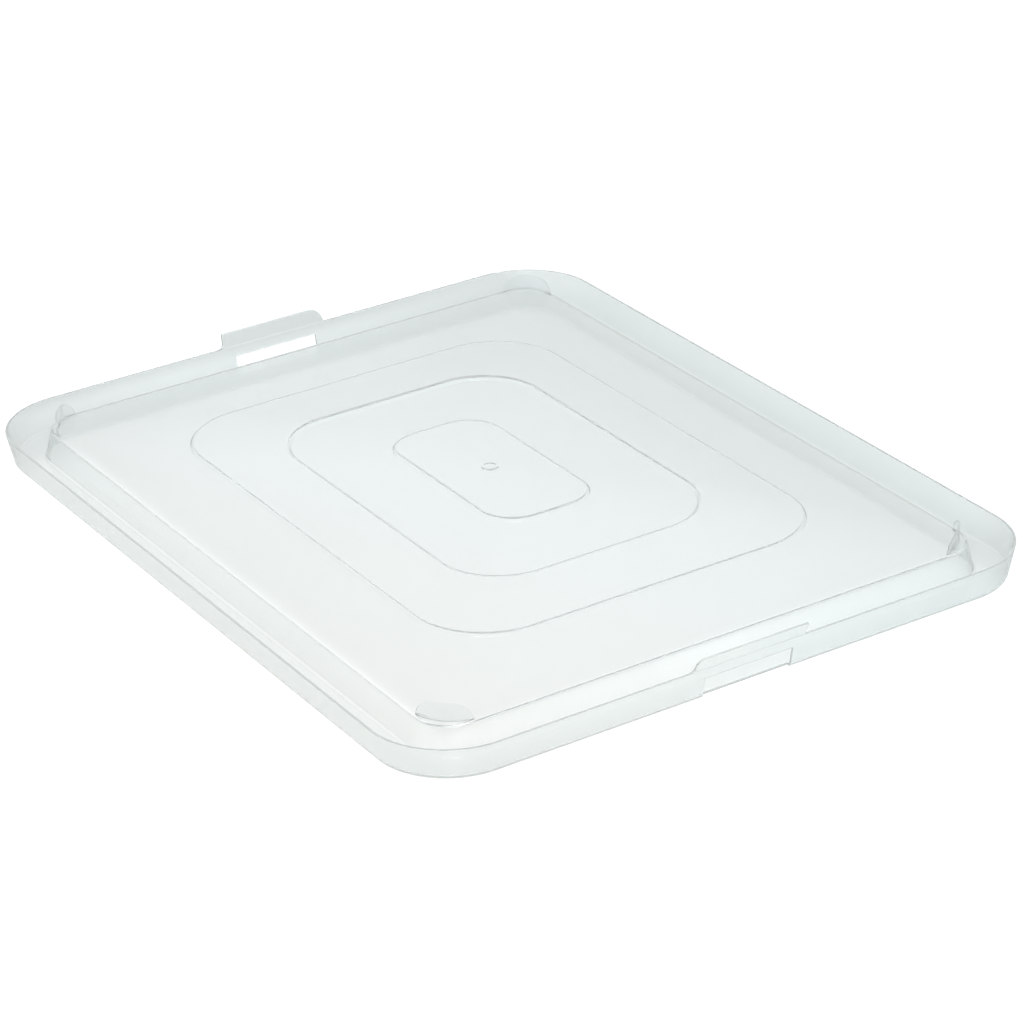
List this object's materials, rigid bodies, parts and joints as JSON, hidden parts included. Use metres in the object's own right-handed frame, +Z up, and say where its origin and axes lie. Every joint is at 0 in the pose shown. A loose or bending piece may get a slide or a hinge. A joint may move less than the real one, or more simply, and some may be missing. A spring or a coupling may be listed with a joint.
{
  "type": "storage box lid",
  "caption": "Large clear storage box lid, rectangular with round corners, with a crowned stepped panel, rim channel, corner fins and sprung clip tabs over windows in its skirt.",
  "frame": {"origin": "centre of the lid, on the face it rests on when it lies mouth side up", "axes": "+Z up, out of the mouth side; +Y along the lid, towards the rear clip tab; +X across it"},
  "size_m": [0.3998, 0.5066, 0.0284],
  "materials": {
    "clear_polypropylene": "moulded clear polypropylene, faintly hazy, with a smooth gloss"
  },
  "bodies": {
    "lid": {"lid_shell": "clear_polypropylene"},
    "rear_tab": {"rear_clip_tab": "clear_polypropylene"},
    "front_tab": {"front_clip_tab": "clear_polypropylene"}
  },
  "joints": [
    {"name": "rear_tab_flex", "type": "hinge", "parent": "lid", "child": "rear_tab", "pos_m": [0, 0.2493, 0.01915], "axis": [-1, 0, 0], "range_deg": [0, 12], "stiffness_Nm_per_rad": 0.5},
    {"name": "front_tab_flex", "type": "hinge", "parent": "lid", "child": "front_tab", "pos_m": [0, -0.2493, 0.01915], "axis": [1, 0, 0], "range_deg": [0, 12], "stiffness_Nm_per_rad": 0.5}
  ]
}
